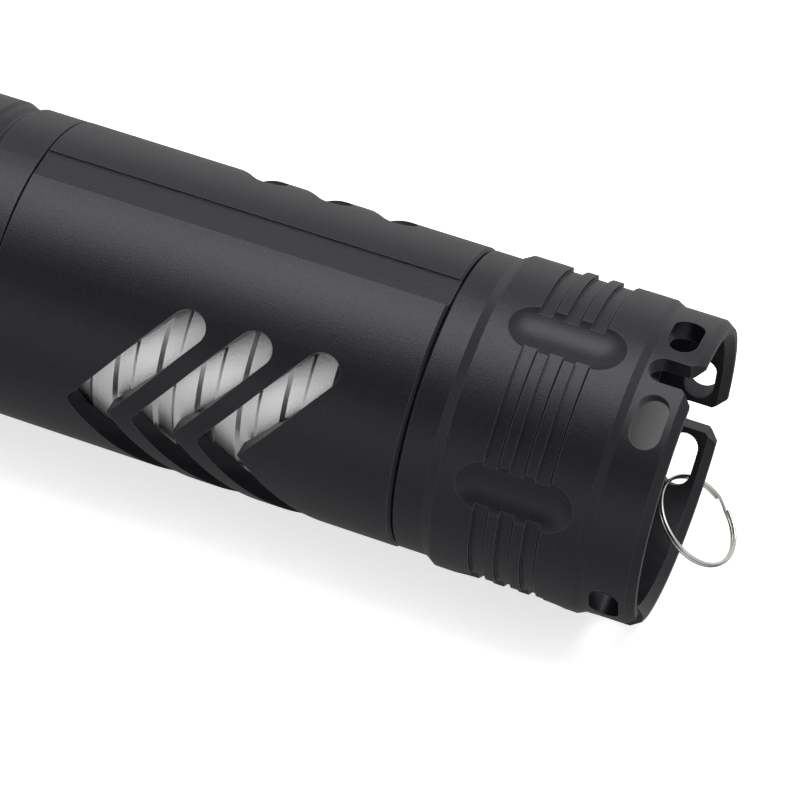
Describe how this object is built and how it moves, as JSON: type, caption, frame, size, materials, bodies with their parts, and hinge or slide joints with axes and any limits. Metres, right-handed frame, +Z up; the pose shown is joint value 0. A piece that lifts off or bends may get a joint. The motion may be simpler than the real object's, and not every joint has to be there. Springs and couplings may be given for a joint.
{
  "type": "flashlight",
  "caption": "Cylindrical pocket flashlight: black tube body with chevron windows over a silver inner tube, fluted tail cap with a slotted crown and a split ring.",
  "frame": {"origin": "centre of the bezel's front face, on the barrel's axis", "axes": "+X runs along the barrel from the bezel to the tail; +Z is up through the middle of the flat band along the sleeve, with the light lying on its side; +Y completes the right-handed frame"},
  "size_m": [0.1397, 0.042, 0.0388],
  "materials": {
    "black_anodised": "bead-blasted, hard black anodised, satin",
    "bezel_black": "turned and black anodised, satin",
    "bare_aluminium": "fine bead-blasted clear aluminium",
    "seal_rubber": "matte nitrile rubber",
    "lens_glass": "coated flat glass",
    "reflector_mirror": "lightly dimpled vacuum metallised mirror",
    "white_plastic": "moulded white plastic",
    "led_phosphor": "silicone dome over yellow phosphor",
    "led_board_white": "white solder mask on an aluminium core board",
    "plated_steel": "nickel-plated steel",
    "cell_case": null,
    "lead_insulation": "silicone lead insulation",
    "driver_parts": "moulded component cases",
    "board_green": "green solder mask",
    "brass": "turned brass",
    "cell_wrap_film": "plain shrink film",
    "black_plastic": "moulded black plastic",
    "gold_spring": "gold-plated spring wire",
    "boot_rubber": "moulded silicone rubber",
    "nickel_wire": "bright nickel-plated spring steel wire"
  },
  "bodies": {
    "root": {"bezel": "bezel_black", "lens_gasket": "seal_rubber", "lens": "lens_glass", "reflector": "reflector_mirror", "led_centring_ring": "white_plastic", "led_emitter": "led_phosphor", "led_board": "led_board_white", "board_screws": "plated_steel", "led_leads": "lead_insulation", "head_housing": "black_anodised", "driver_components": "driver_parts", "driver_board": "board_green", "driver_retaining_ring": "brass", "front_contact": "brass", "front_o_ring": "seal_rubber", "outer_sleeve": "black_anodised", "battery_tube": "bare_aluminium", "rear_o_ring": "seal_rubber"},
    "cell": {"cell_can": "cell_case", "cell_button": "plated_steel", "cell_wrap": "cell_wrap_film", "cell_insulator": "white_plastic"},
    "tail_cap": {"tail_cap": "black_anodised", "boot_washer": "white_plastic", "switch_board": "board_green", "switch_body": "black_plastic", "switch_retaining_ring": "brass", "tail_spring": "gold_spring", "switch_boot": "boot_rubber"},
    "tail_button": {"switch_plunger": "white_plastic"},
    "split_ring": {"split_ring": "nickel_wire"}
  },
  "joints": [
    {"name": "cap_travel", "type": "slide", "parent": "root", "child": "cell", "axis": [1, 0, 0], "range_m": [0, 0.007]},
    {"name": "cap_unscrew", "type": "hinge", "parent": "cell", "child": "tail_cap", "pos_m": [0.134, 0, 0], "axis": [1, 0, 0], "range_deg": [0, 2520]},
    {"name": "button_press", "type": "slide", "parent": "tail_cap", "child": "tail_button", "axis": [-1, 0, 0], "range_m": [0, 0.0016], "stiffness_N_per_m": 1800, "deforming": ["switch_boot"]},
    {"name": "ring_swing", "type": "hinge", "parent": "tail_cap", "child": "split_ring", "pos_m": [0.1327, 0.01213, -0.01192], "axis": [0, 0.7009, 0.7132], "range_deg": [-2, 65]}
  ],
  "couplings": [
    {"joint": "cap_unscrew", "follows": "cap_travel", "rad_per_m": 6283.2}
  ]
}
